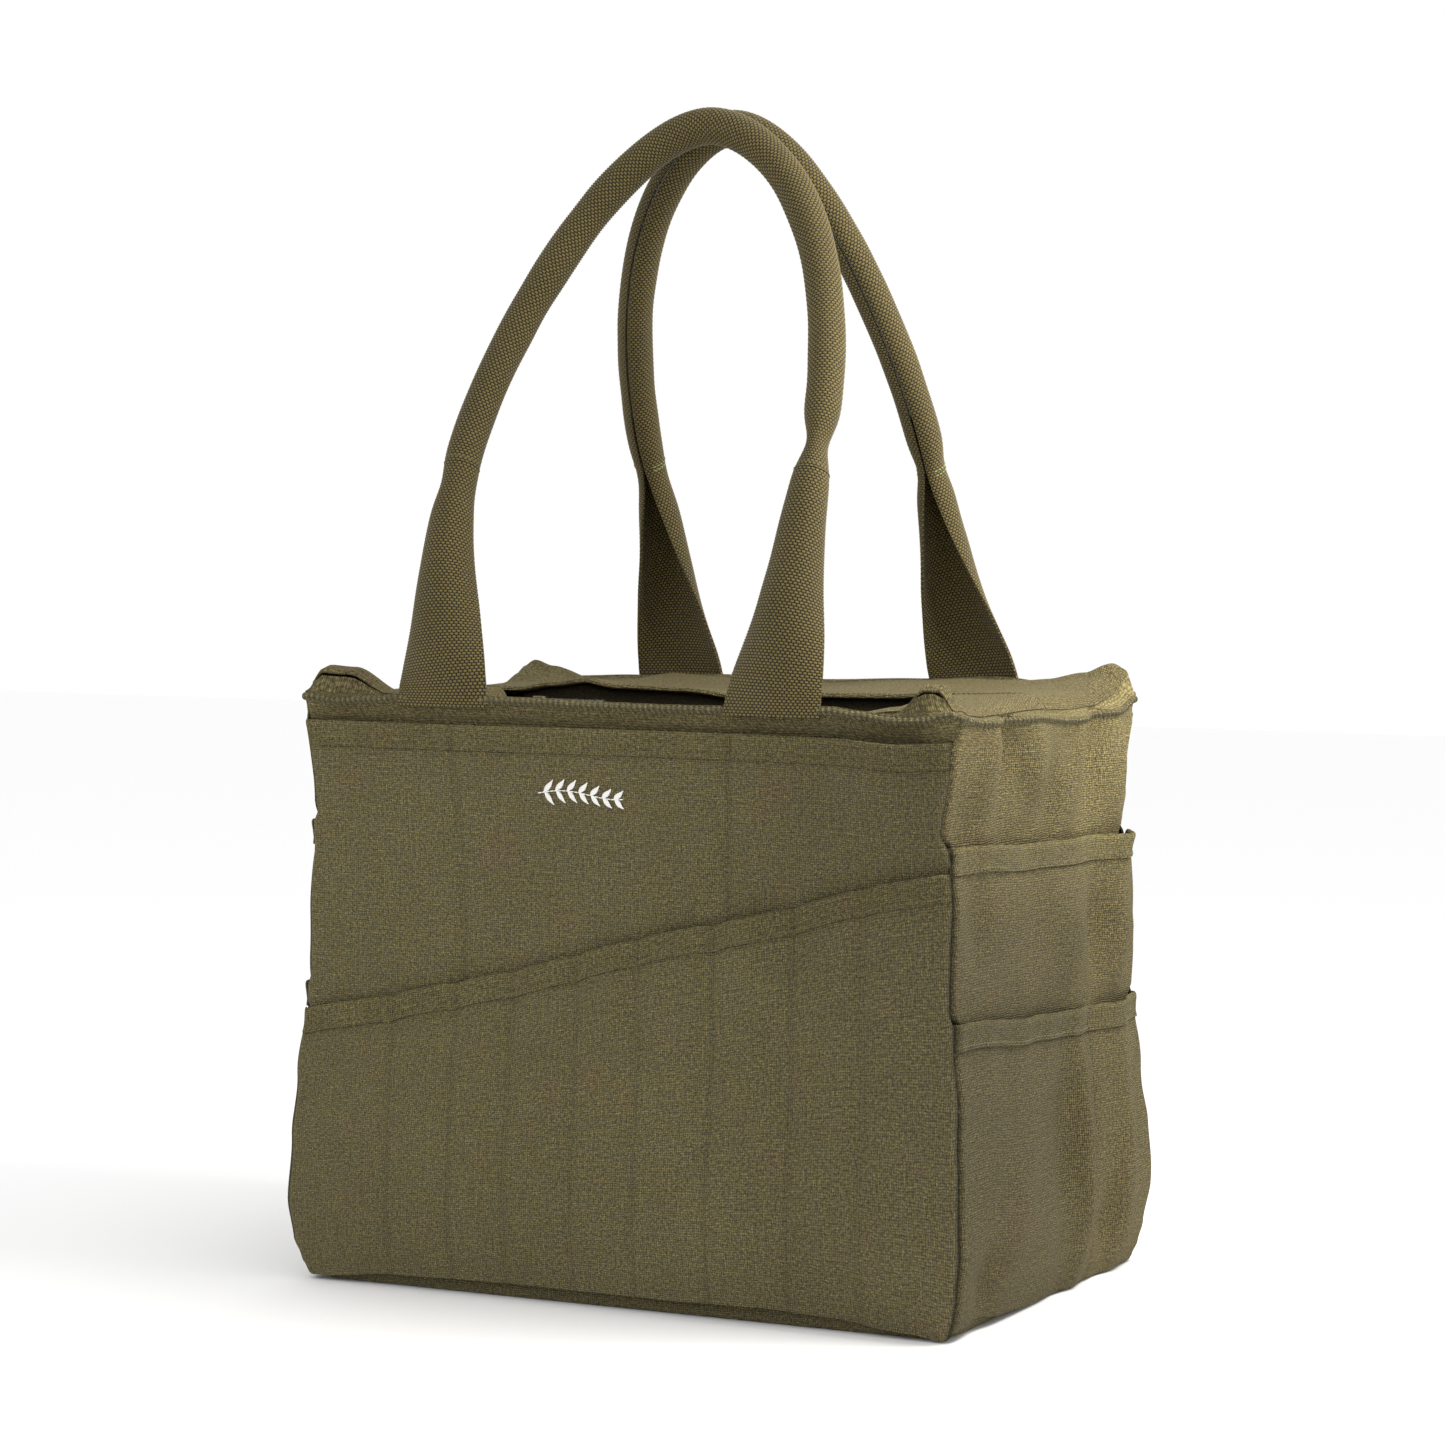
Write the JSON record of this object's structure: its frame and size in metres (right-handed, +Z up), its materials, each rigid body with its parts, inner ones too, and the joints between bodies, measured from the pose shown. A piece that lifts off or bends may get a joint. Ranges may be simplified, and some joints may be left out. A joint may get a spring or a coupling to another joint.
{
  "type": "garden tool bag",
  "caption": "Canvas tool tote with a zipped two-part cover, open pockets on every side, a slanted row of tool slots and rolled webbing handles.",
  "frame": {"origin": "bottom centre of the bag, on the floor it stands on", "axes": "+Z up along the height, +X along the length of the front face, the front face and its slanted pocket face -Y"},
  "size_m": [0.3456, 0.2378, 0.5785],
  "materials": {
    "canvas": "woven cotton canvas",
    "wall_canvas": "woven cotton canvas",
    "binding": "folded canvas",
    "webbing": "coarse cotton webbing",
    "cord": "plain cord",
    "lining": "plain weave",
    "board": "matte",
    "zip_tape": "twill tape",
    "metal": "bright"
  },
  "bodies": {
    "root": {"back_lower_pocket": "canvas", "back_lower_pocket_binding": "binding", "back_upper_pocket": "canvas", "back_upper_pocket_binding": "binding", "back_wall": "wall_canvas", "base_board": "board", "base_panel": "canvas", "cover_left_end": "canvas", "cover_right_end": "canvas", "front_lower_divider_1": "canvas", "front_lower_divider_2": "canvas", "front_lower_divider_3": "canvas", "front_lower_divider_4": "canvas", "front_lower_divider_5": "canvas", "front_lower_divider_6": "canvas", "front_lower_divider_7": "canvas", "front_lower_divider_8": "canvas", "front_lower_pocket": "canvas", "front_lower_pocket_binding": "binding", "front_lower_return_left": "canvas", "front_lower_return_right": "canvas", "front_upper_pocket": "canvas", "front_upper_pocket_binding": "binding", "front_wall": "wall_canvas", "left_lower_pocket": "canvas", "left_lower_pocket_binding": "binding", "left_upper_pocket": "canvas", "left_upper_pocket_binding": "binding", "left_wall": "wall_canvas", "lining": "lining", "right_lower_pocket": "canvas", "right_lower_pocket_binding": "binding", "right_upper_pocket": "canvas", "right_upper_pocket_binding": "binding", "right_wall": "wall_canvas", "top_edge_piping_back": "binding", "top_edge_piping_front": "binding", "top_edge_piping_left": "binding", "top_edge_piping_right": "binding", "zip_bottom_stop": "metal"},
    "cover_front": {"cover_front_flap": "canvas", "zip_front_tape": "zip_tape", "zip_front_teeth": "metal", "zip_front_top_stop": "metal"},
    "cover_back": {"cover_back_flap": "canvas", "zip_back_tape": "zip_tape", "zip_back_teeth": "metal", "zip_back_top_stop": "metal"},
    "zip_slider": {"zip_slider_body": "metal"},
    "zip_pull": {"zip_pull_tab": "metal"},
    "front_handle": {"front_handle_strap": "webbing", "front_handle_core": "cord"},
    "back_handle": {"back_handle_strap": "webbing", "back_handle_core": "cord"}
  },
  "joints": [
    {"name": "front_handle_fold", "type": "hinge", "parent": "root", "child": "front_handle", "pos_m": [0, -0.1135, 0.2842], "axis": [1, 0, 0], "range_deg": [0, 130]},
    {"name": "back_handle_fold", "type": "hinge", "parent": "root", "child": "back_handle", "pos_m": [0, 0.1135, 0.2842], "axis": [-1, 0, 0], "range_deg": [0, 130]},
    {"name": "cover_front_fold", "type": "hinge", "parent": "root", "child": "cover_front", "pos_m": [0, -0.10765, 0.2805], "axis": [1, 0, 0], "range_deg": [-52, 25]},
    {"name": "cover_back_fold", "type": "hinge", "parent": "root", "child": "cover_back", "pos_m": [0, 0.10765, 0.2805], "axis": [1, 0, 0], "range_deg": [0, 80]},
    {"name": "zip_slide", "type": "slide", "parent": "cover_back", "child": "zip_slider", "axis": [1, 0, 0], "range_m": [0, 0.19]},
    {"name": "zip_pull_swing", "type": "hinge", "parent": "zip_slider", "child": "zip_pull", "pos_m": [-0.105, 0, 0.2833], "axis": [0, -1, 0], "range_deg": [0, 175]}
  ]
}
